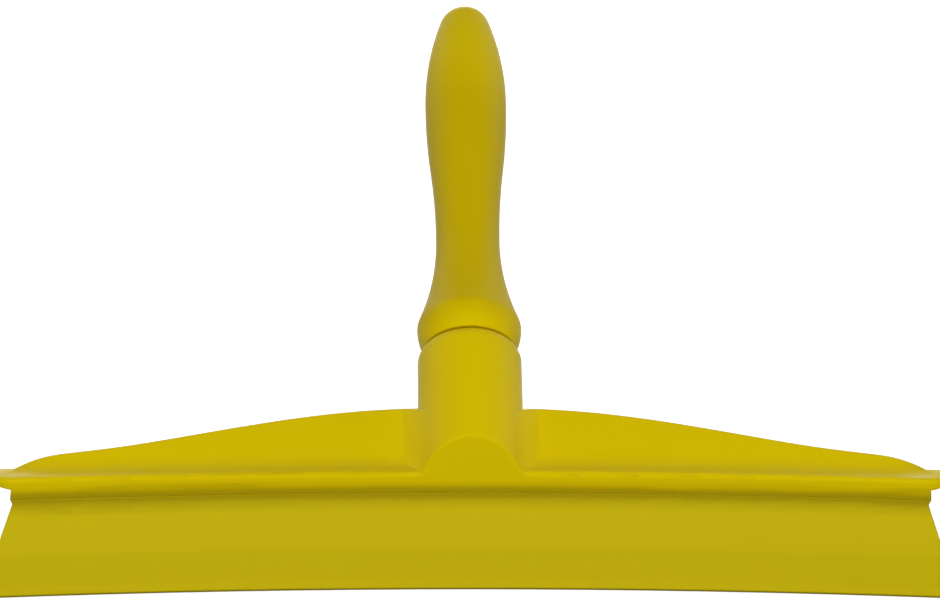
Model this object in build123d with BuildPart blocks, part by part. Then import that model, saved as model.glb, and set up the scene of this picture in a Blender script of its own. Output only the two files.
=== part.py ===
from build123d import *
from math import asin, cos, degrees, radians, sin, sqrt
import os

# A single-blade squeegee with a short screw-in grip. The middle of the wiping edge is the
# origin, X runs along the blade, the front is -Y and Z is up. All sizes are in mm.

# ---- Driving dimensions -------------------------------------------------------------
bow_radius = 2000.0  # plan radius of the blade and rim, with its centre in front
lean = 53.0  # degrees that the socket leans back from the vertical

blade_half_length = 203.5  # at the wiping edge
blade_height = 44.5  # from the wiping edge to the seam with the rigid neck
edge_thickness = 2.0
blade_thickness = 4.4  # at the shoulder, where the coves begin
blade_corner = 2.5
flare_inset = 14.2  # how far the neck's end lies inside the wiping edge's end
flare_drop = 2.6  # from the seam down to where the blade's ends begin to flare
neck_waist = 0.7  # how far the ends draw in above and below the seam

core_thickness = 1.8  # rigid tongue inside the soft blade
core_bottom = 19.0  # above the wiping edge
core_root = 1.0  # how far the tongue runs up into the neck
core_inset = 9.0  # from the neck's end to the tongue's end
key_diameter = 7.0  # holes in the tongue, which the soft moulding fills
key_pitch = 24.0
key_rise = 12.0  # from the tongue's lower edge to the middle of the holes

neck_slope = 33.0  # degrees that the neck's front leans out under the rim
neck_cove = 12.1  # between the neck's front and the blade's face
neck_rise = 5.2  # from the seam to the underside of the rim's ears

rim_edge = 4.7  # height of the rim above that underside
rim_front = 8.0  # how far the rim stands in front of the blade's plane
rim_rear = 6.6
rim_round = 2.0  # along the ledge's edge
lip_round = 7.3  # along the lower edge of the rim's front
lip_drop = 3.7  # from the ledge down to where that rounding begins
ear_reach = 10.2  # how far the rim's ears stand out past the neck
ear_lift = 2.2  # how far their underside rises towards their ends
ear_front = 11.5  # rounding of their front corners, in plan
ear_rear = 3.3
ear_fillet = 2.4  # between the neck's end and the ear's underside

knee_drop = 5.4  # from the ledge down to where the socket's axis crosses the blade's plane
wing_thickness = 4.5
wing_inset = 5.5  # from the ear's end to the wing's end
wing_height = 34.2  # from the knee to the wing's free edge, along the socket's axis
wing_outline = [(0.25, 32.4), (0.50, 25.2), (0.62, 20.8), (0.75, 16.5), (0.875, 13.6)]
wing_tip = 2.2  # height of the wing's end, which runs out on the ledge
wing_round = 1.0  # along the free edge
ledge_blend = 15.0  # radius between the rim's ledge and the wing

socket_radius = 22.0
socket_length = 64.0  # from the knee to the mouth
heel_distance = 30.0  # from the knee to the centre of the socket's round lower end
mouth_flat = 1.7  # width of the seat that is left around the bore's lead
web_half_width = 28.6  # concave webs that fair the socket into the wings
web_angle = 33.0  # degrees round the socket, from the wings to where the webs leave it
web_slope = 38.0  # degrees that the webs' upper ends fall back
web_drop = 1.0  # from the wings' free edge down to the webs' upper ends
arch_round = 1.2  # along the edge where the rim's front cuts the socket

bore_radius = 12.8
bore_lead = 1.0
bore_relief = 10.0  # between the stub's end and the bore's floor

stub_length = 32.0
stub_lead = 1.5
thread_height = 1.0  # between the stub's core and the crest of its thread
thread_clearance = 0.3

grip_length = 189.2  # from the seat to the tip
seat_radius = 19.3
flange_overhang = 0.2  # past the socket
flange_height = 11.0
waist_radius = 13.8
waist_height = 58.0
belly_radius = 18.1
belly_height = 135.0
tip_radius = 11.7
flange_share = 0.06  # of the flare, from flange to waist, that bulges out
belly_share = 0.5  # of the swell, from waist to belly, that is hollow

# ---- Planes and derived values ------------------------------------------------------
lean_sin, lean_cos = sin(radians(lean)), cos(radians(lean))
slope_sin, slope_cos = sin(radians(neck_slope)), cos(radians(neck_slope))
neck_half_length = blade_half_length - flare_inset
rim_half_length = neck_half_length + ear_reach
wing_half_length = rim_half_length - wing_inset
core_half_length = neck_half_length - core_inset
rim_bottom = blade_height + neck_rise
rim_top = rim_bottom + rim_edge
lip_top = rim_top - lip_drop
knee_height = rim_top - knee_drop
half_blade = blade_thickness / 2
half_wing = wing_thickness / 2
bow_axis = Axis((0, -bow_radius, 0), (0, 0, 1))
past_ends = blade_half_length + rim_front  # half length of revolved stock, past both ends
reach = bow_radius / 10  # far enough past the bowed pieces for cuts and intersections
knee = (0, 0, knee_height)

# Across the socket: the normal is its axis, and local Y points up and forward.
socket_plane = Plane(origin=knee, x_dir=(-1, 0, 0), z_dir=(0, lean_sin, lean_cos))
# Along the wings: local Y is the socket's axis.
wing_plane = Plane(origin=knee, x_dir=(1, 0, 0), z_dir=(0, -lean_cos, lean_sin))
# From the side: local X is the socket's axis, and local Y points up and forward.
side_plane = Plane(origin=knee, x_dir=(0, lean_sin, lean_cos), z_dir=(1, 0, 0))
socket_axis = Axis(knee, (0, lean_sin, lean_cos))


def bow_plane(half_length):
    """The radial plane at one end of a bowed moulding. Its local X points rearward."""
    turn = asin(half_length / bow_radius)
    return Plane(
        origin=(bow_radius * sin(turn), bow_radius * (cos(turn) - 1), 0),
        x_dir=(sin(turn), cos(turn), 0),
        z_dir=(cos(turn), -sin(turn), 0),
    )


def bow_sweep(half_length):
    """Degrees from one end of a bowed moulding to the other."""
    return 2 * degrees(asin(half_length / bow_radius))


def bow_drop(x):
    """How far forward the bow brings a point."""
    return bow_radius - sqrt(bow_radius**2 - x**2)


def wing_face(distance, side):
    """A point of the section on the wing's upper (1) or lower (-1) face."""
    offset = side * half_wing
    return (
        distance * lean_sin - offset * lean_cos,
        knee_height + distance * lean_cos + offset * lean_sin,
    )


# The rim's front curves under into the neck's slope, and a cove brings the neck upright at
# the blade's shoulder.
lip_end = (
    lip_round - rim_front - lip_round * slope_cos,
    lip_top - lip_round * slope_sin,
)
cove_top_y = -half_blade - neck_cove * (1 - slope_cos)
cove_top_z = lip_end[1] - (cove_top_y - lip_end[0]) * slope_cos / slope_sin
shoulder_height = cove_top_z - neck_cove * slope_sin

# The rear cove leaves the shoulder upright and runs tangent into the wing.
wing_root = wing_face(0, -1)
rear_cove = (
    lean_cos * (half_blade - wing_root[0]) + lean_sin * (wing_root[1] - shoulder_height)
) / (1 - lean_cos)
cove_end = (
    half_blade + rear_cove * (1 - lean_cos),
    shoulder_height + rear_cove * lean_sin,
)
cove_at_top = half_blade + rear_cove - sqrt(rear_cove**2 - (rim_top - shoulder_height) ** 2)

# ---- End outline, shared by the rigid neck and the soft blade ---------------------------
# Seen from the front: the blade's ends flare down and out below the neck, and a fillet
# carries the neck into the rim's ears.
ear_root = neck_half_length - neck_waist
ear_slope = ear_lift / (rim_half_length - ear_root)
with BuildSketch(Plane.XZ) as end_outline:
    with BuildLine():
        Polyline(
            (0, 0),
            (blade_half_length, 0),
            (ear_root, blade_height - flare_drop),
            (neck_half_length, blade_height),
            (ear_root, rim_bottom),
            (past_ends, rim_bottom + ear_slope * (past_ends - ear_root)),
            (past_ends, rim_top),
            (0, rim_top),
            close=True,
        )
    make_face()
    corners = end_outline.vertices()
    fillet(corners.sort_by_distance((blade_half_length, 0))[0], blade_corner)
    fillet(corners.sort_by_distance((ear_root, rim_bottom))[0], ear_fillet)
    mirror(about=Plane.YZ)

# ---- Web: rim, neck and blade in one, before the seam parts them --------------------------
with BuildPart() as web:
    with BuildSketch(bow_plane(past_ends)):
        with BuildLine():
            Line((-edge_thickness / 2, 0), (-half_blade, shoulder_height))
            TangentArc(
                (-half_blade, shoulder_height), (cove_top_y, cove_top_z), tangent=(0, 1)
            )
            Line((cove_top_y, cove_top_z), lip_end)
            TangentArc((-rim_front, lip_top), lip_end, tangent=(0, -1))
            Line((-rim_front, lip_top), (-rim_front, rim_top))
            Line((-rim_front, rim_top), (cove_at_top, rim_top))
            TangentArc(
                (half_blade, shoulder_height), (cove_at_top, rim_top), tangent=(0, 1)
            )
            Line((half_blade, shoulder_height), (edge_thickness / 2, 0))
            Line((edge_thickness / 2, 0), (-edge_thickness / 2, 0))
        make_face()
    revolve(axis=bow_axis, revolution_arc=bow_sweep(past_ends))
    extrude(end_outline.sketch, amount=reach, both=True, mode=Mode.INTERSECT)

# ---- Core: the rigid tongue inside the blade, with its keying holes ----------------------
core_height = blade_height + core_root - core_bottom
key_count = 2 * int((core_half_length - key_diameter) / key_pitch) + 1
with BuildPart() as core:
    with BuildSketch(bow_plane(core_half_length)):
        with Locations((0, core_bottom)):
            Rectangle(core_thickness, core_height, align=(Align.CENTER, Align.MIN))
    revolve(axis=bow_axis, revolution_arc=bow_sweep(core_half_length))
    with BuildSketch(Plane.XZ):
        with Locations((0, core_bottom + key_rise)):
            with GridLocations(key_pitch, 1, key_count, 1):
                Circle(key_diameter / 2)
    extrude(amount=reach, both=True, mode=Mode.SUBTRACT)

# ---- Wings: the leaning plate that rises from the rim ------------------------------------
wing_run = wing_height + 2 * half_wing
with BuildSketch(wing_plane.offset(-reach)) as wing_plan:
    with BuildLine():
        stations = [(share * wing_half_length, height) for share, height in wing_outline]
        bowed = [
            (x, height - bow_drop(x) * lean_sin)
            for x, height in [(0, wing_height), *stations, (wing_half_length, wing_tip)]
        ]
        last_run = Vector(*bowed[-2]) - Vector(*bowed[-3])
        Spline(*bowed[:-1], tangents=[(1, 0), last_run])
        TangentArc(*bowed[-2:], tangent=last_run)
        Polyline(
            bowed[-1],
            (wing_half_length, -wing_run),
            (0, -wing_run),
            (0, wing_height),
        )
    make_face()
    mirror(about=Plane.YZ)
with BuildPart() as wings:
    with BuildSketch(bow_plane(rim_half_length)):
        with BuildLine():
            TangentArc((half_blade, shoulder_height), cove_end, tangent=(0, 1))
            Polyline(
                cove_end,
                wing_face(wing_run, -1),
                wing_face(wing_run, 1),
                wing_face(0, 1),
                (wing_face(0, 1)[0], shoulder_height),
                (half_blade, shoulder_height),
            )
        make_face()
        with Locations((0, rim_bottom)):
            Rectangle(
                4 * wing_run,
                2 * wing_run,
                align=(Align.CENTER, Align.MIN),
                mode=Mode.INTERSECT,
            )
    revolve(axis=bow_axis, revolution_arc=bow_sweep(rim_half_length))
    extrude(wing_plan.sketch, amount=2 * reach, mode=Mode.INTERSECT)
    wing_normal = Axis(knee, tuple(wing_plane.z_dir))
    upper_face = wings.faces().filter_by(GeomType.CONE).sort_by(wing_normal)[-1]
    fillet(upper_face.edges().filter_by(GeomType.BSPLINE), wing_round)

# ---- Ledge blend: the hollow between the rim's ledge and the wings -------------------------
ledge_meets_wing = (rim_top - knee_height - half_wing * lean_sin) / lean_cos
junction = wing_face(ledge_meets_wing, 1)
blend_end = ledge_meets_wing + ledge_blend / 2
with BuildPart() as blend:
    with BuildSketch(bow_plane(rim_half_length)) as blend_section:
        Polygon(
            (-rim_front / 2, rim_top),
            junction,
            wing_face(blend_end, 1),
            wing_face(blend_end, 0),
            wing_face(0, 0),
            (-rim_front / 2, rim_bottom),
            align=None,
        )
        fillet(blend_section.vertices().sort_by_distance(junction)[0], ledge_blend)
    revolve(axis=bow_axis, revolution_arc=bow_sweep(rim_half_length))
    # It stays clear of the rounding along the wings' free edge.
    edge_back = wing_plan.sketch.moved(Location(socket_plane.z_dir * -2 * wing_round))
    extrude(edge_back, amount=2 * reach, mode=Mode.INTERSECT)

# ---- Socket: the leaning tube, closed by a round heel -------------------------------------
mouth_round = socket_radius - bore_radius - bore_lead - mouth_flat
with BuildPart() as socket:
    with BuildSketch(socket_plane.offset(heel_distance)):
        Circle(socket_radius)
    extrude(amount=socket_length - heel_distance)
    fillet(socket.edges().sort_by(Axis.Z)[-1], mouth_round)
    with Locations(socket_plane.offset(heel_distance)):
        Sphere(socket_radius)

# ---- Nose: the socket's front and its webs, which the rim's front cuts flush ----------------
web_tangent = (
    socket_radius * cos(radians(web_angle)),
    socket_radius * sin(radians(web_angle)),
)
web_end = wing_height - web_drop
web_fall = 2 * socket_radius * sin(radians(web_slope))
web_climb = 2 * socket_radius * cos(radians(web_slope))
with BuildPart() as nose:
    with BuildSketch(socket_plane.offset(-wing_height)):
        with BuildLine():
            Polyline(
                web_tangent,
                (0, web_tangent[1]),
                (0, 0),
                (web_half_width, 0),
                (web_half_width, half_wing),
            )
            TangentArc(
                web_tangent,
                (web_half_width, half_wing),
                tangent=(sin(radians(web_angle)), -cos(radians(web_angle))),
            )
        make_face()
        mirror(about=Plane.YZ)
    extrude(amount=2 * wing_height)
    with BuildSketch(side_plane):
        Polygon(
            (-wing_height, 0),
            (web_end, 0),
            (web_end, half_wing),
            (web_end - web_fall, half_wing + web_climb),
            (-wing_height, half_wing + web_climb),
            align=None,
        )
    extrude(amount=2 * web_half_width, both=True, mode=Mode.INTERSECT)
    with BuildSketch(socket_plane.offset(-wing_height)):
        Circle(socket_radius)
        Rectangle(
            2 * socket_radius,
            socket_radius,
            align=(Align.CENTER, Align.MIN),
            mode=Mode.INTERSECT,
        )
    extrude(amount=wing_height + heel_distance)
    with BuildSketch(bow_plane(2 * web_half_width)):
        with Locations((-rim_front, lip_top)):
            Rectangle(socket_length, socket_length, align=(Align.MIN, Align.MIN))
    revolve(
        axis=bow_axis, revolution_arc=bow_sweep(2 * web_half_width), mode=Mode.INTERSECT
    )
    arch = nose.faces().sort_by(Axis.Y)[0].edges().sort_by(Axis.Z)[1:]
    fillet(arch, arch_round)

# ---- Bore: smooth, with a lead at the mouth ------------------------------------------------
bore_floor = socket_length - stub_length - bore_relief
with BuildPart() as bore:
    with BuildSketch(wing_plane):
        with BuildLine():
            Polyline(
                (0, bore_floor),
                (bore_radius, bore_floor),
                (bore_radius, socket_length - bore_lead),
                (bore_radius + bore_lead, socket_length),
                (0, socket_length),
                close=True,
            )
        make_face()
    revolve(axis=socket_axis)

# ---- Head: one rigid moulding ---------------------------------------------------------------
with BuildPart() as head:
    add(web.part)
    split(bisect_by=Plane.XY.offset(blade_height), keep=Keep.TOP)
    with BuildSketch(Plane.XY.offset(rim_top)) as rim_plan:
        with BuildLine():
            sweep = bow_sweep(rim_half_length)
            front = CenterArc((0, -bow_radius), bow_radius - rim_front, 90 - sweep / 2, sweep)
            rear = CenterArc((0, -bow_radius), bow_radius + rim_rear, 90 - sweep / 2, sweep)
            Line(front @ 0, rear @ 0)
            Line(front @ 1, rear @ 1)
        make_face()
        plan_corners = rim_plan.vertices().sort_by(Axis.Y)
        fillet(plan_corners[:2], ear_front)
        fillet(plan_corners[2:], ear_rear)
    extrude(amount=rim_top, both=True, mode=Mode.INTERSECT)
    fillet(head.faces().sort_by(Axis.Z)[-1].edges(), rim_round)
    add(core.part)
    add(nose.part)
    add(socket.part)
    add(wings.part)
    add(blend.part)
    add(bore.part, mode=Mode.SUBTRACT)

# ---- Blade: soft moulding over the core ------------------------------------------------------
with BuildPart() as blade:
    add(web.part)
    split(bisect_by=Plane.XY.offset(blade_height), keep=Keep.BOTTOM)
    add(core.part, mode=Mode.SUBTRACT)

# ---- Handle: turned grip with a stub that screws into the socket ------------------------------
stub_radius = bore_radius - thread_clearance - thread_height
stub_end = socket_length - stub_length
tip = socket_length + grip_length
flange = Vector(socket_radius + flange_overhang, socket_length + flange_height)
waist = Vector(waist_radius, socket_length + waist_height)
belly = Vector(belly_radius, socket_length + belly_height)
# The belly's long arc runs tangent into the round tip at the crown.
tip_centre = tip - tip_radius
crown_run = tip_centre - belly.Y
belly_arc = (belly_radius**2 + crown_run**2 - tip_radius**2) / (
    2 * (belly_radius - tip_radius)
)
crown_scale = tip_radius / (belly_arc - tip_radius)
crown = Vector(
    crown_scale * (belly_arc - belly_radius), tip_centre + crown_scale * crown_run
)
with BuildPart() as handle:
    with BuildSketch(wing_plane):
        with BuildLine():
            Polyline(
                (0, tip),
                (0, stub_end),
                (stub_radius - stub_lead, stub_end),
                (stub_radius, stub_end + stub_lead),
                (stub_radius, socket_length),
                (seat_radius, socket_length),
            )
            TangentArc(flange, (seat_radius, socket_length), tangent=(0, -1))
            flare = flange + (waist - flange) * flange_share
            TangentArc(flange, flare, tangent=(0, 1))
            TangentArc(waist, flare, tangent=(0, -1))
            swell = waist + (belly - waist) * belly_share
            TangentArc(waist, swell, tangent=(0, 1))
            TangentArc(belly, swell, tangent=(0, -1))
            TangentArc(belly, crown, tangent=(0, 1))
            TangentArc((0, tip), crown, tangent=(1, 0))
        make_face()
    revolve(axis=socket_axis)

# ---- Write one file for each piece ---------------------------------------------------------------
head.part.label = "head"
blade.part.label = "blade"
handle.part.label = "handle"

os.makedirs("parts", exist_ok=True)
export_step(head.part, "parts/head.step")
export_step(blade.part, "parts/blade.step")
export_step(handle.part, "parts/handle.step")
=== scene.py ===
"""Looks of a single-blade squeegee with a short screw-in grip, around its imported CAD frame."""

from math import cos, pi, radians, sin

import bpy
from mathutils import Matrix, Vector


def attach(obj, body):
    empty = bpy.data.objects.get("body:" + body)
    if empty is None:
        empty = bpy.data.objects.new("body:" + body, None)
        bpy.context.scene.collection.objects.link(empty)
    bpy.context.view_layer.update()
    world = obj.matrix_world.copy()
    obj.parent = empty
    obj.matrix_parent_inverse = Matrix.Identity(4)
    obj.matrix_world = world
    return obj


# ---- Camera: far off and a little to the left of the part ----------------------------------
SENSOR = 36.0  # millimetres, as Blender's lens is
VIEW_WIDTH = 0.393  # metres across the picture at the blade
DISTANCE = 1.5
ELEVATION = radians(17)
AIM_UP = 0.1202  # from the wiping edge to the picture's centre, along the picture's upright
AIM_SIDE = -0.0004
SIDE_STEP = -0.037  # how far to the side the camera stands
ROLL = radians(0.12)
NEAREST, FARTHEST = 0.05, 50  # between these it draws

# ---- Light: a plain ambient and eight soft boxes all round ----------------------------------
AMBIENT = 0.2  # strength of the world where it lights the part
SEEN_WORLD = 1.0  # strength of the world where it is seen
LIT_CENTRE = (0, 0.06, 0.09)  # every box points here
BOX = 0.9  # width of every box, and height of the raised ones
FRONT_BOX = 0.57  # height of the low one in front
SIDE_BOX = 0.7  # height of the other low ones
# Powers in watts.
FRONT_LOW = 6.4
FRONT_HIGH = 9.9
LEFT_FRONT = 1.1
LEFT = 0.5
RIGHT = 2.4
LEFT_BACK = 2.2
RIGHT_BACK = 2.2
BACK_LOW = 9.5

# ---- Floor ----------------------------------------------------------------------------------
FLOOR_HALF = 6.0
FLOOR_DROP = 0.0005  # between the wiping edge and the floor
FLOOR_WHITE = 0.74  # the floor's own white where it is seen; light and shadow add to it
FLOOR_SEEN = 0.75  # the floor's tone where it is seen
FLOOR_TONE = 0.22  # the floor's tone where its light falls on the part

# ---- Colours, as linear RGB, and tones, as shares of them ------------------------------------
HEAD_YELLOW = (0.745, 0.56, 0.0008)
GRIP_YELLOW = (0.73, 0.545, 0.0006)
BLADE_YELLOW = (0.73, 0.575, 0.0075)
SHEEN = (1.0, 0.9, 0.02)  # the gloss of the pigmented plastic is yellow too
PAINTED_SHADE_TINT = (0.8, 0.77, 0.5)  # what painted shade leaves of each channel
CLOUD_TONES = (0.965, 1.035)
WORN_AND_HIGHLIT_TONE = 1.16
CREASE_TONE = 0.62
BLADE_TONES = (0.95, 1.0)
SCUFF_TONE = 0.8
SEAM_HIGHLIGHT_TONE = 1.15
BLADE_CREASE_TONE = 0.65
CONTACT_SHADOW_TONE = 0.22

# ---- Gloss: the share of light that each finish mirrors, and ranges of roughness -------------
HEAD_SPECULAR = 0.18
GRIP_SPECULAR = 0.15
BLADE_SPECULAR = 0.25
PLASTIC_ROUGHNESS = (0.46, 0.56)
BLADE_ROUGHNESS = (0.55, 0.65)
WORN_ROUGHER = 0.1
SCUFFED_ROUGHER = 0.15

# ---- Patterns: features per metre, detail and, where one is needed, weight -------------------
CLOUDS = (35, 3, 0.7)
MOTTLE = (420, 2, 0.3)
WORN_PATCHES = (160, 4)
STREAKS = ((90, 90, 700), 3)
ORANGE_PEEL = (260, 1, 0.6)
PLASTIC_GRAIN = (2600, 2, 0.4)
BLADE_WAVER = (60, 2, 0.0012)  # of the heights where the blade's tone changes
BLADE_CLOUDS = (45, 3, 0.5)
SCUFFS = ((35, 35, 900), 4)
BLADE_SHINE = (300, 3)
BLADE_GRAIN = (1800, 3, 0.5)
BLADE_WAVES = ((20, 20, 90), 1, 1.5)
RIM_SHADOW_EDGE = 0.003  # how far the painted shadow under the rim runs unevenly past its limits
RIM_SHADOW_PATTERN = (55, 3, RIM_SHADOW_EDGE)
GRIP_SHADE_EDGE = 0.02
GRIP_SHADE_PATTERN = (40, 3, GRIP_SHADE_EDGE)

# ---- Limits between which a feature fades in or out, in metres or as values of its pattern ---
RIM_SHADOW_BOTTOM = (0.0395, 0.0435)  # heights of the painted shadow under the rim
RIM_SHADOW_TOP = (0.0465, 0.0495)
GRIP_SHADE_START = (0.066, 0.082)  # distances along the socket's axis of the painted shade on the middle of the grip
GRIP_SHADE_END = (0.18, 0.225)
CONVEX = (0.55, 0.95)  # shares of open surroundings
CREASED = (0.25, 0.8)
WORN = (0.42, 0.62)
SHINY = (0.3, 0.7)
SCUFFED = (0.6, 0.72)
SCUFFED_OUTWARD = (0.12, 0.2)  # distances from the blade's middle
SCUFFED_LOW = (0.003, 0.014)  # heights
SEAM = (0.0001, 0.0005)  # distances below the seam
CONTACT_SHADOW_HEIGHTS = (0.0003, 0.0012)  # heights of the painted contact shadow along the wiping edge

# ---- How far a feature goes where it is full, and where it is least --------------------------
RIM_SHADOW_SHARE = 0.7
GRIP_SHADE_SHARE = 0.8
LEAST_WORN = 0.15
WORN_AND_HIGHLIT_SHARE = 0.8
CREASE_SHARE = 0.3
BLADE_CREASE_SHARE = 0.25
LIP_SHARE = 0.55
LEAST_SCUFFED_INWARD = 0.15
LEAST_SCUFFED_HIGH = 0.35
SCUFF_SHARE = 0.5
SEAM_HIGHLIGHT_SHARE = 0.6
CONTACT_SHADOW_SHARE = 0.85
BUMP_SHARE = 0.6

# ---- Reaches and reliefs of a finish, in metres ----------------------------------------------
EDGE_REACH = 0.0009
CREASE_REACH = 0.0022
BLADE_CREASE_REACH = 0.002
EASED_EDGE = 0.0012
PLASTIC_RELIEF = 0.00005
BLADE_RELIEF = 0.00004
EDGE_SAMPLES = 6

# ---- The part's own sizes, in metres --------------------------------------------------------
KNEE_HEIGHT = 0.049  # where the socket's axis crosses the blade's plane
LEAN = radians(53)
SOCKET_LENGTH = 0.064
STUB_LENGTH = 0.032
STUB_RADIUS = 0.0115
BORE_RADIUS = 0.0128
SEAM_HEIGHT = 0.0445  # between the soft blade and the rigid neck
TONGUE_BOTTOM = 0.019  # lower edge of the rigid tongue inside the blade
TONGUE_EDGE = (TONGUE_BOTTOM - 0.0012, TONGUE_BOTTOM + 0.0004)
LIP_HEIGHT = 0.0045  # of the thin wiping lip
LIP_EDGE = (LIP_HEIGHT - 0.0005, LIP_HEIGHT + 0.0005)

# ---- The screw, in metres: drawn, because the solids have a plain stub and a plain bore ------
THREAD_PITCH = 0.005
THREAD_STEPS = 72  # in one turn
THREAD_ROOT = 0.29  # half of the ridge's width, as a share of the pitch
THREAD_CREST = 0.13
THREAD_SUNK = 0.0001  # into the wall that it stands on
STUB_RIDGE = 0.001  # how far the stub's ridge stands out
BORE_RIDGE = 0.0002
THREAD_START = SOCKET_LENGTH - STUB_LENGTH + 0.004
STUB_THREAD_END = SOCKET_LENGTH - 0.005
BORE_THREAD_END = SOCKET_LENGTH - 0.004


def add_node(tree, kind, values, **settings):
    made = tree.nodes.new("ShaderNode" + kind)
    for name, value in settings.items():
        setattr(made, name, value)
    for socket, value in values.items():
        if isinstance(value, bpy.types.NodeSocket):
            tree.links.new(value, made.inputs[socket])
        else:
            made.inputs[socket].default_value = value
    return made


def maths(tree, operation, first, second):
    return add_node(tree, "Math", {0: first, 1: second}, operation=operation).outputs[0]


def plus(tree, first, second):
    return maths(tree, "ADD", first, second)


def minus(tree, first, second):
    return maths(tree, "SUBTRACT", first, second)


def times(tree, first, second):
    return maths(tree, "MULTIPLY", first, second)


def noise(tree, coords, scale, detail):
    values = {"Vector": coords, "Scale": scale, "Detail": detail}
    return add_node(tree, "TexNoise", values).outputs["Fac"]


def weighted(tree, coords, scale, detail, weight):
    return times(tree, noise(tree, coords, scale, detail), weight)


def centred(tree, coords, scale, detail, weight):
    """Noise that goes as far below nothing as above it."""
    return times(tree, minus(tree, noise(tree, coords, scale, detail), 0.5), weight)


def drawn_out(tree, coords, scales, detail):
    """Noise with a scale of its own along each axis."""
    values = {"Vector": coords, "Scale": scales}
    return noise(tree, add_node(tree, "Mapping", values).outputs[0], 1.0, detail)


def fade(tree, value, limits, low, high):
    """Low before the first limit, high after the second, and a smooth step between them."""
    values = {"Value": value, 1: limits[0], 2: limits[1], 3: low, 4: high}
    return add_node(tree, "MapRange", values, interpolation_type="SMOOTHSTEP").outputs[0]


def blend_colours(tree, share, first, second):
    values = {0: share, 6: first, 7: second}
    return add_node(tree, "Mix", values, data_type="RGBA").outputs[2]


def scaled(colour, share):
    return (*(channel * share for channel in colour), 1)


def painted_shade_of(colour):
    return (*(channel * left for channel, left in zip(colour, PAINTED_SHADE_TINT)), 1)


def painted_shadow_under_rim(tree, coords):
    """Painted shadow under the head's rim and on the top of the blade."""
    height = add_node(tree, "SeparateXYZ", {"Vector": coords}).outputs["Z"]
    uneven = weighted(tree, coords, *RIM_SHADOW_PATTERN)
    height = minus(tree, plus(tree, height, RIM_SHADOW_EDGE / 2), uneven)
    upper = fade(tree, height, RIM_SHADOW_TOP, 1.0, 0.0)
    lower = fade(tree, height, RIM_SHADOW_BOTTOM, 0.0, RIM_SHADOW_SHARE)
    return times(tree, upper, lower)


def along_socket(tree, coords):
    """The distance from the knee along the socket's and the grip's axis."""
    values = {0: coords, 1: (0, 0, KNEE_HEIGHT)}
    from_knee = add_node(tree, "VectorMath", values, operation="SUBTRACT").outputs[0]
    values = {0: from_knee, 1: (0, sin(LEAN), cos(LEAN))}
    return add_node(tree, "VectorMath", values, operation="DOT_PRODUCT").outputs["Value"]


def painted_shade_on_grip(tree, coords):
    """Painted shade on the middle of the grip, and not on its tip or its flange."""
    along = along_socket(tree, coords)
    uneven = weighted(tree, coords, *GRIP_SHADE_PATTERN)
    along = plus(tree, minus(tree, along, GRIP_SHADE_EDGE / 2), uneven)
    start = fade(tree, along, GRIP_SHADE_START, 0.0, 1.0)
    end = fade(tree, along, GRIP_SHADE_END, GRIP_SHADE_SHARE, 0.0)
    return times(tree, start, end)


def convex_edges(tree, reach):
    values = {"Distance": reach}
    inside = add_node(tree, "AmbientOcclusion", values, inside=True, samples=EDGE_SAMPLES)
    return fade(tree, inside.outputs["AO"], CONVEX, 1.0, 0.0)


# Painted shade: a mask from occlusion within the reach, for darkening hollows and inner corners.
def creases(tree, reach):
    values = {"Distance": reach}
    outside = add_node(tree, "AmbientOcclusion", values, samples=EDGE_SAMPLES)
    return fade(tree, outside.outputs["AO"], CREASED, 1.0, 0.0)


def surface(name, specular):
    """A new material, its node tree, its shader and its object coordinates."""
    material = bpy.data.materials.new(name)
    material.use_nodes = True
    tree = material.node_tree
    shader = tree.nodes["Principled BSDF"]
    shader.inputs["Specular IOR Level"].default_value = specular
    shader.inputs["Specular Tint"].default_value = (*SHEEN, 1)
    coords = add_node(tree, "TexCoord", {}).outputs["Object"]
    return material, tree, shader, coords


def finish_surface(tree, shader, colour, roughness, relief, depth):
    tree.links.new(colour, shader.inputs["Base Color"])
    tree.links.new(roughness, shader.inputs["Roughness"])
    eased = add_node(tree, "Bevel", {"Radius": EASED_EDGE}, samples=EDGE_SAMPLES).outputs[0]
    values = {"Height": relief, "Strength": BUMP_SHARE, "Distance": depth, "Normal": eased}
    bump = add_node(tree, "Bump", values)
    tree.links.new(bump.outputs[0], shader.inputs["Normal"])


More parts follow.
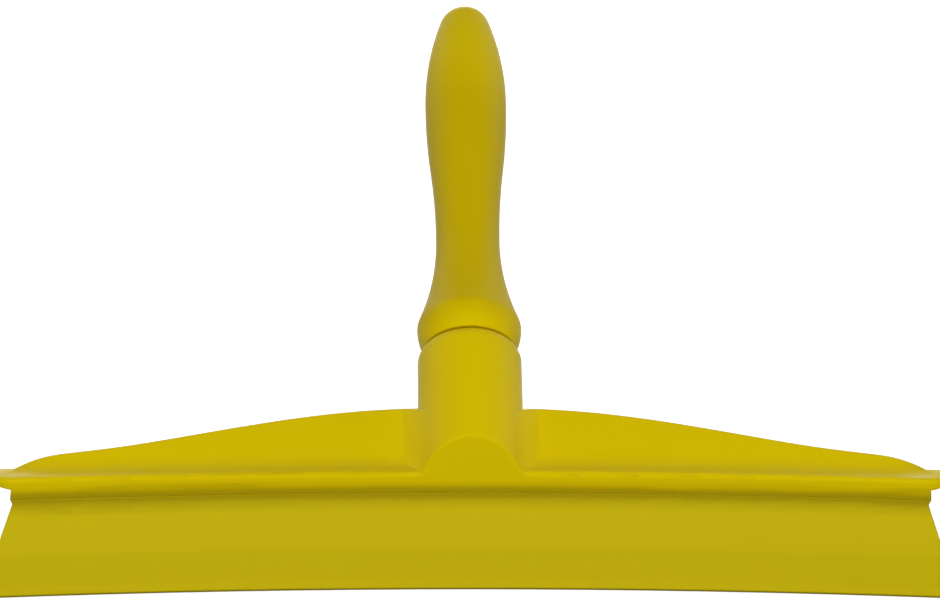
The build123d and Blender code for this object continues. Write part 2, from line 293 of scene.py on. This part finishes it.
def moulded_plastic(name, colour, specular, where_shade_painted):
    """Hard moulded plastic: satin, faintly clouded, burnished on edges with a painted highlight
    there, with painted shade in hollows.

    The function where_shade_painted gives how much painted shade each place takes, from 0 to 1.
    """
    material, tree, shader, coords = surface(name, specular)
    clouds = weighted(tree, coords, *CLOUDS)
    shade = plus(tree, clouds, weighted(tree, coords, *MOTTLE))
    body = blend_colours(tree, shade, *(scaled(colour, tone) for tone in CLOUD_TONES))
    patches = fade(tree, noise(tree, coords, *WORN_PATCHES), WORN, LEAST_WORN, 1.0)
    # Convex edges turn paler and rougher: partly rubbing, partly a painted highlight.
    wear_and_highlight = times(tree, convex_edges(tree, EDGE_REACH), patches)
    wear_and_highlight_share = times(tree, wear_and_highlight, WORN_AND_HIGHLIT_SHARE)
    worn_and_highlit = blend_colours(tree, wear_and_highlight_share, body, scaled(colour, WORN_AND_HIGHLIT_TONE))
    # Painted shade: under the rim on the head, on the middle of the grip.
    with_painted_shade = blend_colours(tree, where_shade_painted(tree, coords), worn_and_highlit, painted_shade_of(colour))
    # Painted shade in hollows and inner corners, from occlusion.
    crease_shade_share = times(tree, creases(tree, CREASE_REACH), CREASE_SHARE)
    crease_shaded = blend_colours(tree, crease_shade_share, with_painted_shade, scaled(colour, CREASE_TONE))
    streaks = fade(tree, drawn_out(tree, coords, *STREAKS), SHINY, *PLASTIC_ROUGHNESS)
    roughness = plus(tree, streaks, times(tree, wear_and_highlight, WORN_ROUGHER))
    peel = weighted(tree, coords, *ORANGE_PEEL)
    relief = plus(tree, peel, weighted(tree, coords, *PLASTIC_GRAIN))
    finish_surface(tree, shader, crease_shaded, roughness, relief, PLASTIC_RELIEF)
    return material


def blade_rubber():
    """Soft rubber: paler where the tongue backs it and on the wiping lip, and scuffed."""
    material, tree, shader, coords = surface("soft_blade", BLADE_SPECULAR)
    apart = add_node(tree, "SeparateXYZ", {"Vector": coords})
    height = plus(tree, apart.outputs["Z"], centred(tree, coords, *BLADE_WAVER))
    backed = fade(tree, height, TONGUE_EDGE, 0.0, 1.0)
    lip = fade(tree, height, LIP_EDGE, LIP_SHARE, 0.0)
    shade = plus(tree, plus(tree, backed, lip), centred(tree, coords, *BLADE_CLOUDS))
    body = blend_colours(tree, shade, *(scaled(BLADE_YELLOW, tone) for tone in BLADE_TONES))
    # Scuffs run along the blade, and gather towards its ends and on the lip.
    drawn = fade(tree, drawn_out(tree, coords, *SCUFFS), SCUFFED, 0.0, 1.0)
    sideways = maths(tree, "ABSOLUTE", apart.outputs["X"], 0.0)
    outward = fade(tree, sideways, SCUFFED_OUTWARD, LEAST_SCUFFED_INWARD, 1.0)
    low = fade(tree, height, SCUFFED_LOW, 1.0, LEAST_SCUFFED_HIGH)
    scuffs = times(tree, drawn, times(tree, outward, low))
    scuff_share = times(tree, scuffs, SCUFF_SHARE)
    scuffed = blend_colours(tree, scuff_share, body, scaled(BLADE_YELLOW, SCUFF_TONE))
    # Painted highlight: a thin lighter line just below the seam.
    seam = fade(tree, minus(tree, SEAM_HEIGHT, apart.outputs["Z"]), SEAM, 1.0, 0.0)
    seam_highlight_share = times(tree, seam, SEAM_HIGHLIGHT_SHARE)
    seam_highlit = blend_colours(tree, seam_highlight_share, scuffed, scaled(BLADE_YELLOW, SEAM_HIGHLIGHT_TONE))
    # Painted shadow under the rim darkens the top of the blade.
    with_painted_shade = blend_colours(tree, painted_shadow_under_rim(tree, coords), seam_highlit, painted_shade_of(BLADE_YELLOW))
    # Painted shade in hollows and inner corners, from occlusion.
    crease_shade_share = times(tree, creases(tree, BLADE_CREASE_REACH), BLADE_CREASE_SHARE)
    crease_shaded = blend_colours(tree, crease_shade_share, with_painted_shade, scaled(BLADE_YELLOW, BLADE_CREASE_TONE))
    # Painted contact shadow: a dark line along the wiping edge.
    contact_shadow = fade(tree, apart.outputs["Z"], CONTACT_SHADOW_HEIGHTS, CONTACT_SHADOW_SHARE, 0.0)
    contact_shadowed = blend_colours(tree, contact_shadow, crease_shaded, scaled(BLADE_YELLOW, CONTACT_SHADOW_TONE))
    shine = fade(tree, noise(tree, coords, *BLADE_SHINE), SHINY, *BLADE_ROUGHNESS)
    roughness = plus(tree, shine, times(tree, scuffs, SCUFFED_ROUGHER))
    wave_scales, wave_detail, wave_weight = BLADE_WAVES
    waves = times(tree, drawn_out(tree, coords, wave_scales, wave_detail), wave_weight)
    relief = minus(tree, plus(tree, weighted(tree, coords, *BLADE_GRAIN), waves), scuffs)
    finish_surface(tree, shader, contact_shadowed, roughness, relief, BLADE_RELIEF)
    return material


def make_camera():
    data = bpy.data.cameras.new("camera")
    camera = bpy.data.objects.new("camera", data)
    bpy.context.scene.collection.objects.link(camera)
    back = Vector((0, -cos(ELEVATION), sin(ELEVATION)))
    upright = Vector((0, sin(ELEVATION), cos(ELEVATION)))
    aim = upright * AIM_UP + Vector((AIM_SIDE, 0, 0))
    camera.location = upright * AIM_UP + back * DISTANCE + Vector((SIDE_STEP, 0, 0))
    # It turns about its own upright, so the blade stays level in the picture.
    behind = (camera.location - aim).normalized()
    turned = Matrix((upright.cross(behind), upright, behind)).transposed()
    turned = turned @ Matrix.Rotation(ROLL, 3, "Z")
    camera.rotation_mode = "QUATERNION"
    camera.rotation_quaternion = turned.to_quaternion()
    data.sensor_width = SENSOR
    data.lens = SENSOR * DISTANCE / VIEW_WIDTH
    data.clip_start, data.clip_end = NEAREST, FARTHEST
    bpy.context.scene.camera = camera


def white_for_seeing(tree, strength):
    """1 for camera, glossy and transmission rays and 0 for others, and that times the strength."""
    path = add_node(tree, "LightPath", {})
    seen = maths(tree, "MAXIMUM", path.outputs["Is Camera Ray"], path.outputs["Is Glossy Ray"])
    seen = maths(tree, "MAXIMUM", seen, path.outputs["Is Transmission Ray"])
    return seen, times(tree, seen, strength)


def make_world():
    world = bpy.data.worlds.new("studio")
    bpy.context.scene.world = world
    world.use_nodes = True
    tree = world.node_tree
    tree.nodes.clear()
    _, white = white_for_seeing(tree, SEEN_WORLD - AMBIENT)
    background = add_node(tree, "Background", {"Strength": plus(tree, white, AMBIENT)})
    output = add_node(tree, "OutputWorld", {})
    tree.links.new(background.outputs[0], output.inputs[0])


def make_floor():
    mesh = bpy.data.meshes.new("floor")
    s = FLOOR_HALF
    mesh.from_pydata([(-s, -s, 0), (s, -s, 0), (s, s, 0), (-s, s, 0)], [], [(0, 1, 2, 3)])
    floor = bpy.data.objects.new("floor", mesh)
    bpy.context.scene.collection.objects.link(floor)
    floor.location = (0, 0, -FLOOR_DROP)
    material = bpy.data.materials.new("floor")
    material.use_nodes = True
    tree = material.node_tree
    tree.nodes.clear()
    seen, white = white_for_seeing(tree, FLOOR_WHITE)
    lit = (FLOOR_TONE, FLOOR_TONE, FLOOR_TONE, 1)
    shown = (FLOOR_SEEN, FLOOR_SEEN, FLOOR_SEEN, 1)
    diffuse = add_node(tree, "BsdfDiffuse", {"Color": blend_colours(tree, seen, lit, shown)})
    emission = add_node(tree, "Emission", {"Strength": white})
    both = add_node(tree, "AddShader", {0: diffuse.outputs[0], 1: emission.outputs[0]})
    output = add_node(tree, "OutputMaterial", {})
    tree.links.new(both.outputs[0], output.inputs[0])
    mesh.materials.append(material)


def soft_box(name, location, height, power):
    data = bpy.data.lights.new(name, "AREA")
    data.shape = "RECTANGLE"
    data.size, data.size_y = BOX, height
    data.energy = power
    lamp = bpy.data.objects.new(name, data)
    bpy.context.scene.collection.objects.link(lamp)
    lamp.visible_camera = False
    lamp.location = location
    lamp.rotation_mode = "QUATERNION"
    towards = Vector(LIT_CENTRE) - Vector(location)
    lamp.rotation_quaternion = towards.to_track_quat("-Z", "Y")


def make_lights():
    soft_box("front_low", (0, -1.5, 0.285), FRONT_BOX, FRONT_LOW)
    soft_box("front_high", (0, -1.0, 1.15), BOX, FRONT_HIGH)
    soft_box("left_front", (-1.0, -1.0, 0.6), BOX, LEFT_FRONT)
    soft_box("left", (-1.5, 0, 0.35), SIDE_BOX, LEFT)
    soft_box("right", (1.5, 0, 0.35), SIDE_BOX, RIGHT)
    soft_box("left_back", (-1.0, 1.0, 0.7), BOX, LEFT_BACK)
    soft_box("right_back", (1.0, 1.0, 0.7), BOX, RIGHT_BACK)
    soft_box("back_low", (0, 1.6, 0.35), SIDE_BOX, BACK_LOW)


def thread(name, body, material, root, crest, end):
    """A coarse trapezoidal screw ridge round the socket's axis, from root to crest radius."""
    knee = Vector((0, 0, KNEE_HEIGHT))
    axis = Vector((0, sin(LEAN), cos(LEAN)))
    across = Vector((1, 0, 0))
    upward = axis.cross(across)
    count = int((end - THREAD_START) / THREAD_PITCH * THREAD_STEPS)
    rings = []
    for i in range(count + 1):
        turn = 2 * pi * i / THREAD_STEPS
        outward = across * cos(turn) + upward * sin(turn)
        # The ridge runs in and out over the first and last quarter of a turn.
        share = min(1.0, 4 * i / THREAD_STEPS, 4 * (count - i) / THREAD_STEPS)
        foot = outward * root
        top = outward * (root + (crest - root) * share)
        half_foot = axis * (THREAD_ROOT * THREAD_PITCH)
        half_top = axis * (THREAD_CREST * THREAD_PITCH * share)
        middle = knee + axis * (THREAD_START + THREAD_PITCH * i / THREAD_STEPS)
        ring = [middle + foot - half_foot, middle + top - half_top]
        ring += [middle + top + half_top, middle + foot + half_foot]
        # On a ridge that stands outward the corners run the other way round, so that the
        # faces of both kinds look out of the ridge.
        if crest > root:
            ring.reverse()
        rings.append(ring)
    corners = [corner for ring in rings for corner in ring]
    faces = []
    for i in range(count):
        for j in range(4):
            k = (j + 1) % 4
            faces.append((4 * i + j, 4 * i + k, 4 * i + 4 + k, 4 * i + 4 + j))
    faces.append((0, 3, 2, 1))
    faces.append((4 * count, 4 * count + 1, 4 * count + 2, 4 * count + 3))
    mesh = bpy.data.meshes.new(name)
    mesh.from_pydata(corners, [], faces)
    mesh.validate()
    mesh.materials.append(material)
    ridge = bpy.data.objects.new(name, mesh)
    bpy.context.scene.collection.objects.link(ridge)
    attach(ridge, body)


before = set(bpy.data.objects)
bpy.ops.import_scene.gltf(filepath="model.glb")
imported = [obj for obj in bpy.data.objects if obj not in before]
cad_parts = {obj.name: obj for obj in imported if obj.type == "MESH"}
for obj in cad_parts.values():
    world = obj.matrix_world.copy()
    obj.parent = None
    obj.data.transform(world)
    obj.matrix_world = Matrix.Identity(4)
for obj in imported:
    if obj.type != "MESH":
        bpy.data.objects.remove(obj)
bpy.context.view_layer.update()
make_camera()
make_world()
make_floor()
make_lights()
finishes = {
    "head": moulded_plastic("moulded_head", HEAD_YELLOW, HEAD_SPECULAR, painted_shadow_under_rim),
    "blade": blade_rubber(),
    "handle": moulded_plastic("moulded_grip", GRIP_YELLOW, GRIP_SPECULAR, painted_shade_on_grip),
}
for name, material in finishes.items():
    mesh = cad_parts[name].data
    mesh.materials.clear()
    mesh.materials.append(material)
thread(
    "stub_thread",
    "handle",
    finishes["handle"],
    STUB_RADIUS - THREAD_SUNK,
    STUB_RADIUS + STUB_RIDGE,
    STUB_THREAD_END,
)
thread(
    "bore_thread",
    "head",
    finishes["head"],
    BORE_RADIUS + THREAD_SUNK,
    BORE_RADIUS - BORE_RIDGE,
    BORE_THREAD_END,
)
bpy.context.scene.view_settings.view_transform = "Standard"
